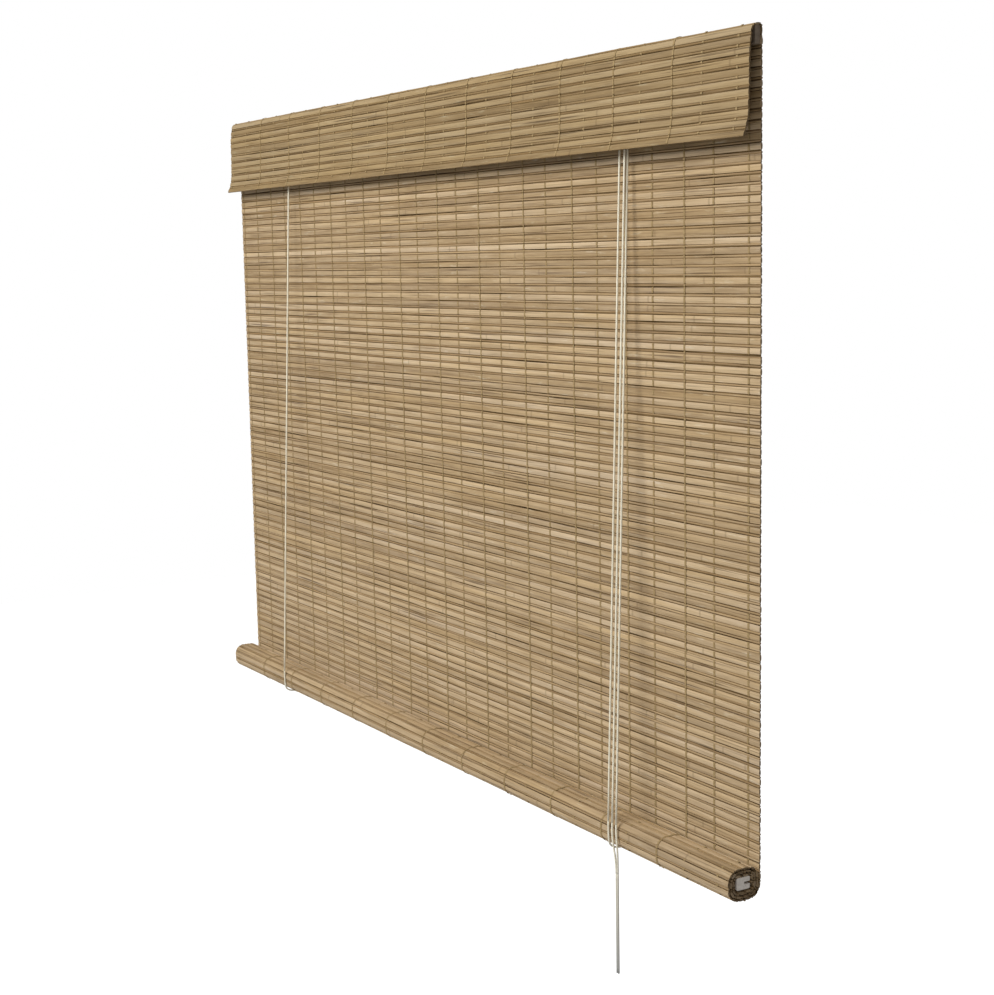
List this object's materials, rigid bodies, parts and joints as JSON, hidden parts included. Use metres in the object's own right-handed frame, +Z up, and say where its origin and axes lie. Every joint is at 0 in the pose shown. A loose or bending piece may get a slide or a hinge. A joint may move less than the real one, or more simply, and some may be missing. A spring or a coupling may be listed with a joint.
{
  "type": "bamboo roll up blind",
  "caption": "Bamboo roll-up blind: wide slats and thin sticks woven into a mat, rolled round a wooden bottom rail, with a folded valance, lift cords and a cord lock.",
  "frame": {"origin": "midway between the two wall screw holes, on the wall's surface, at the back of the hanger plates", "axes": "+X along the blind to the viewer's right, +Y into the wall, -Y towards the room, +Z up"},
  "size_m": [1.2192, 0.0483, 0.9615],
  "materials": {
    "bamboo": "dry split bamboo, tan to brown with darker nodes",
    "batten_wood": "bare wood, sawn ends",
    "rail_wood": "bare pale wood",
    "lift_cord": "braided cord",
    "plated_steel": "zinc plated",
    "cam_zinc": "die cast, dull",
    "wheel_nylon": "satin"
  },
  "bodies": {
    "root": {"woven_mat": "bamboo", "mat_drop": "bamboo", "headrail": "batten_wood", "hanger_plate_left": "plated_steel", "hanger_plate_right": "plated_steel", "hanger_screws": "plated_steel", "mat_staples": "plated_steel", "cord_staples": "plated_steel", "left_pulley_bracket": "plated_steel", "left_pulley_pin": "plated_steel", "left_pulley_screws": "plated_steel", "cord_lock_housing": "plated_steel", "cord_lock_wheel_pin": "plated_steel", "cord_lock_cam_pin": "plated_steel", "cord_lock_anvil_pin": "plated_steel", "cord_lock_screws": "plated_steel", "left_cord_head_run": "lift_cord", "left_cord_back": "lift_cord", "left_cord_front": "lift_cord", "left_cord_pull": "lift_cord", "right_cord_head_run": "lift_cord", "right_cord_back": "lift_cord", "right_cord_front": "lift_cord", "right_cord_pull": "lift_cord"},
    "lift": {"left_cord_sling": "lift_cord", "left_cord_drape": "lift_cord", "right_cord_sling": "lift_cord", "right_cord_drape": "lift_cord"},
    "roll": {"mat_roll": "bamboo", "bottom_rail": "rail_wood", "rail_staples": "plated_steel"},
    "tails": {"left_cord_tail": "lift_cord", "right_cord_tail": "lift_cord"},
    "left_wheel": {"left_pulley_wheel": "wheel_nylon"},
    "lock_wheel": {"cord_lock_wheel": "wheel_nylon"},
    "cam": {"cord_lock_cam": "cam_zinc"}
  },
  "joints": [
    {"name": "roll_lift", "type": "slide", "parent": "root", "child": "lift", "axis": [0, 0, 1], "range_m": [0, 0.6], "deforming": ["mat_drop", "left_cord_back", "left_cord_front", "left_cord_pull", "left_cord_sling", "left_cord_drape", "right_cord_back", "right_cord_front", "right_cord_pull", "right_cord_sling", "right_cord_drape"]},
    {"name": "roll_spin", "type": "hinge", "parent": "lift", "child": "roll", "pos_m": [0, -0.0241, -0.8021], "axis": [-1, 0, 0], "range_deg": [0, 1440]},
    {"name": "cord_pull", "type": "slide", "parent": "lift", "child": "tails", "axis": [0, 0, -1], "range_m": [0, 1.8]},
    {"name": "left_wheel_spin", "type": "hinge", "parent": "root", "child": "left_wheel", "pos_m": [-0.408, -0.0123, -0.02], "axis": [0, 1, 0], "continuous": true},
    {"name": "lock_wheel_spin", "type": "hinge", "parent": "root", "child": "lock_wheel", "pos_m": [0.399, -0.0123, -0.02], "axis": [0, 1, 0], "continuous": true},
    {"name": "lock_cam", "type": "hinge", "parent": "root", "child": "cam", "pos_m": [0.415, -0.0123, -0.03], "axis": [0, -1, 0], "range_deg": [0, 25]}
  ],
  "couplings": [
    {"joint": "roll_spin", "follows": "roll_lift", "rad_per_m": 41.888},
    {"joint": "cord_pull", "follows": "roll_lift", "ratio": 3},
    {"joint": "left_wheel_spin", "follows": "roll_lift", "rad_per_m": 285.71},
    {"joint": "lock_wheel_spin", "follows": "roll_lift", "rad_per_m": 285.71}
  ]
}
